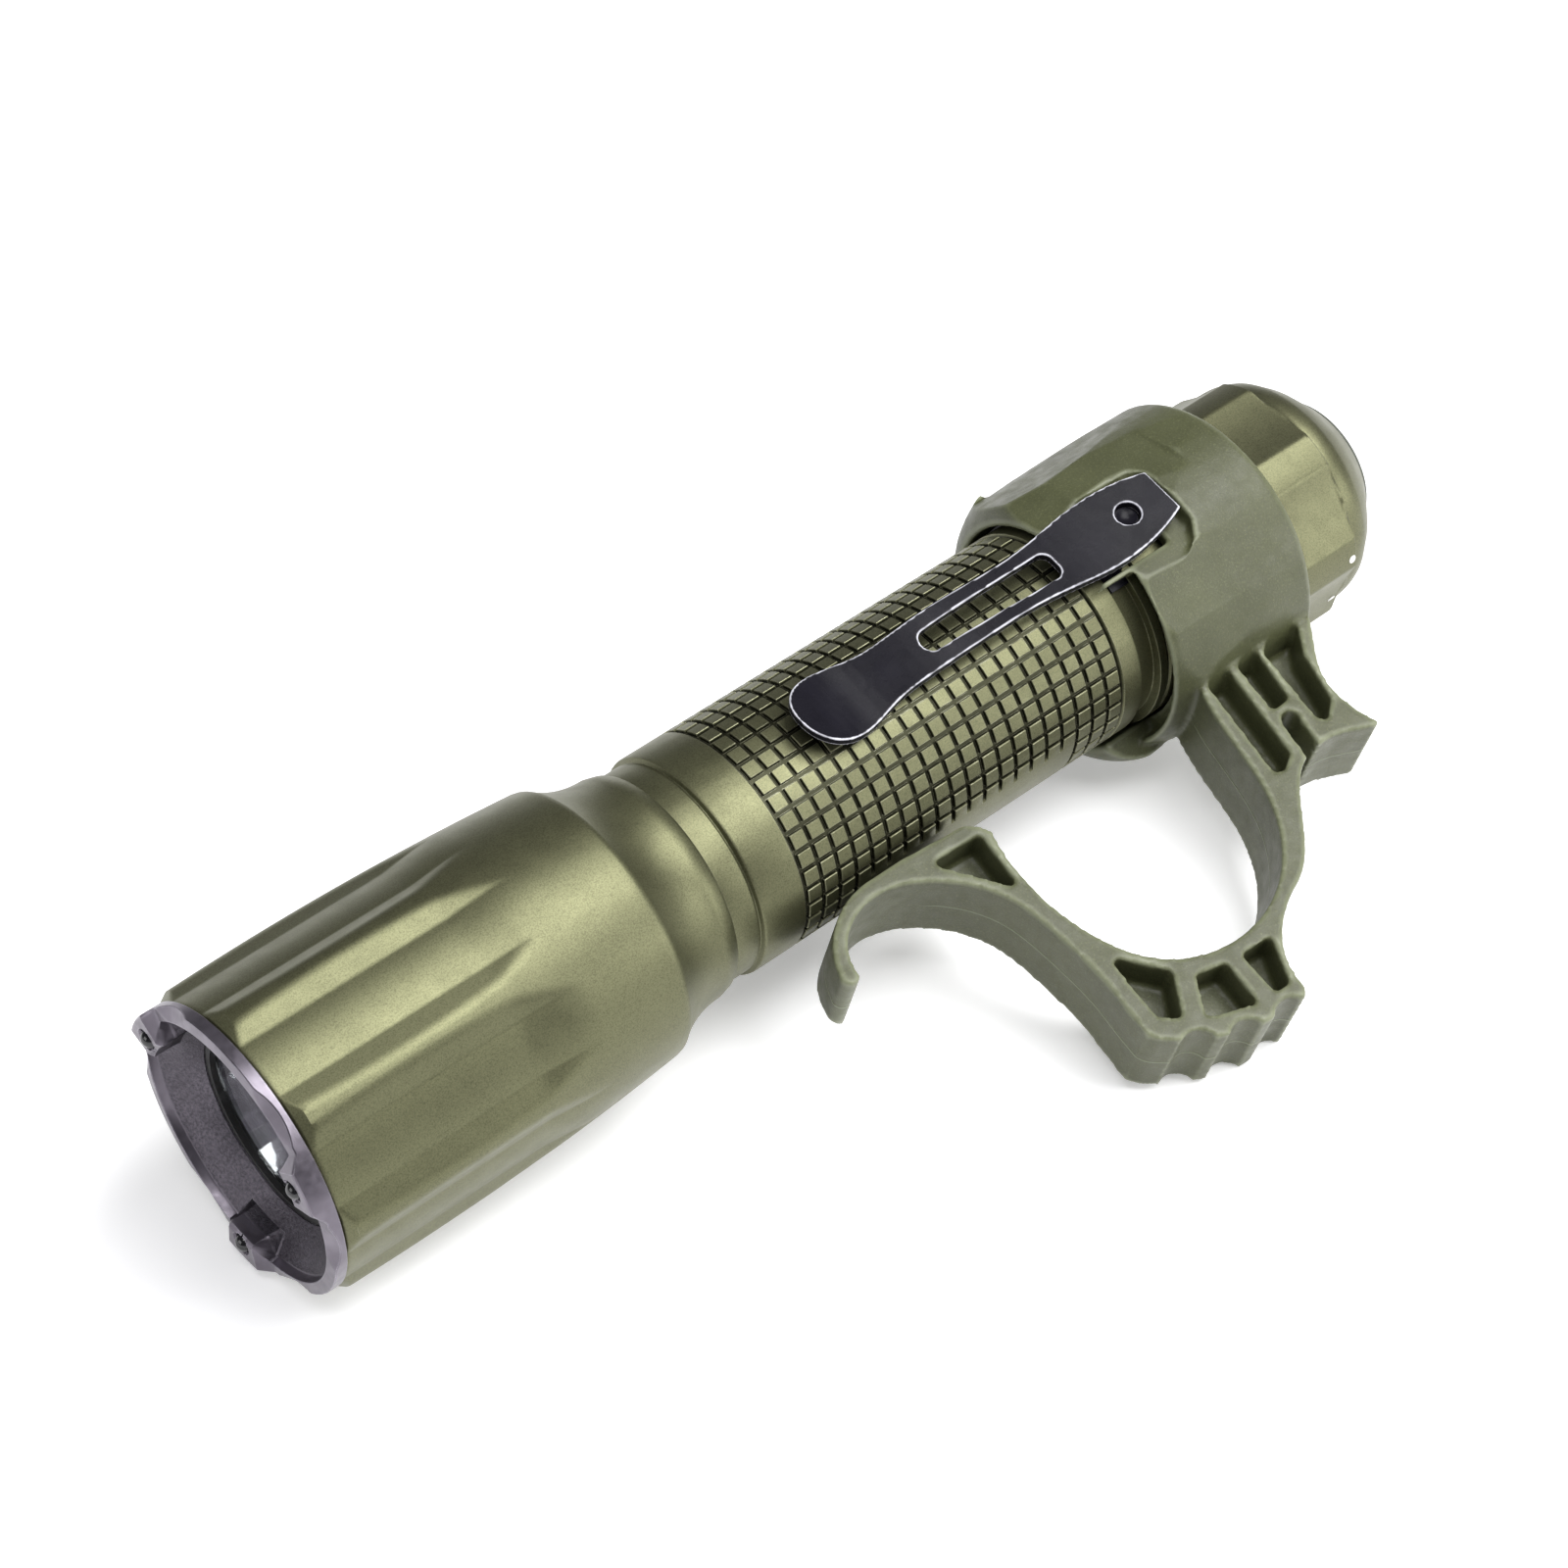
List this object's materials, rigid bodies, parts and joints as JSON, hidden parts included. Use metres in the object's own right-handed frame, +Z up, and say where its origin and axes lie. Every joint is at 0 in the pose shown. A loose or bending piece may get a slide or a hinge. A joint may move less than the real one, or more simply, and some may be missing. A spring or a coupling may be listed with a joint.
{
  "type": "tactical flashlight",
  "caption": "Hand torch with fluted head, crowned strike bezel, knurled tube, moulded finger ring, pocket clip, rotary selector and tail push button.",
  "frame": {"origin": "centre of the bezel mouth, on the beam axis", "axes": "+X along the beam, out of the bezel; +Z up when the light lies on its collar and finger ring; the finger ring is on the +Y side"},
  "size_m": [0.1495, 0.066, 0.0343],
  "materials": {
    "anodised_green": "fine bead-blasted olive anodising",
    "bezel_grey": "dark grey anodising with rubbed edges",
    "ceramic_black": "polished",
    "lens_glass": "coated, clear",
    "seal_rubber": "matte",
    "mirror_cup": "vacuum metallised",
    "white_board": "solder mask",
    "phosphor": "silicone dome",
    "brass": "machined",
    "green_board": "solder mask",
    "spring_steel": "plated",
    "nylon_olive": "filled nylon, fine texture",
    "clip_black": "satin black coating, bright edges",
    "steel": "bright",
    "cell_wrap": "shrink sleeve",
    "button_dark": "fine texture",
    "switch_black": "moulded"
  },
  "bodies": {
    "flashlight": {"strike_bezel": "bezel_grey", "bezel_balls": "ceramic_black", "lens": "lens_glass", "lens_gasket": "seal_rubber", "reflector": "mirror_cup", "reflector_centring_ring": "white_board", "led_emitter": "phosphor", "led_board": "white_board", "light_engine_pill": "brass", "driver_board": "green_board", "front_contact_spring": "spring_steel", "head_housing": "anodised_green", "head_o_ring": "seal_rubber", "body_tube": "anodised_green", "tube_rear_o_ring": "seal_rubber", "finger_ring": "nylon_olive", "clip_band": "clip_black", "clip_rivet": "clip_black"},
    "clip": {"pocket_clip": "clip_black"},
    "battery": {"battery_cell": "cell_wrap", "battery_cap": "steel"},
    "tail_cap": {"tail_cap_housing": "anodised_green", "switch_retaining_ring": "brass", "tail_contact_spring": "spring_steel", "switch_board": "green_board", "micro_switch": "switch_black", "button_seal": "seal_rubber", "selector_snap_ring": "steel", "detent_ball": "steel", "detent_spring": "spring_steel"},
    "selector": {"mode_ring": "anodised_green", "ring_magnet": "steel"},
    "button": {"tail_button": "button_dark"}
  },
  "joints": [
    {"name": "clip_flex", "type": "hinge", "parent": "flashlight", "child": "clip", "pos_m": [-0.1184, 0.00343, 0.01614], "axis": [0, -0.9781, 0.2079], "range_deg": [0, 3.5], "stiffness_Nm_per_rad": 1},
    {"name": "tail_cap_unscrew", "type": "slide", "parent": "flashlight", "child": "tail_cap", "axis": [-1, 0, 0], "range_m": [0, 0.075]},
    {"name": "battery_slide", "type": "slide", "parent": "flashlight", "child": "battery", "axis": [-1, 0, 0], "range_m": [0, 0.075]},
    {"name": "mode_ring_turn", "type": "hinge", "parent": "tail_cap", "child": "selector", "pos_m": [-0.137, 0, 0], "axis": [1, 0, 0], "range_deg": [0, 90]},
    {"name": "tail_button_press", "type": "slide", "parent": "tail_cap", "child": "button", "axis": [1, 0, 0], "range_m": [0, 0.0014], "stiffness_N_per_m": 2000, "springref_m": -0.0005}
  ],
  "couplings": [
    {"joint": "battery_slide", "follows": "tail_cap_unscrew", "ratio": 1}
  ]
}
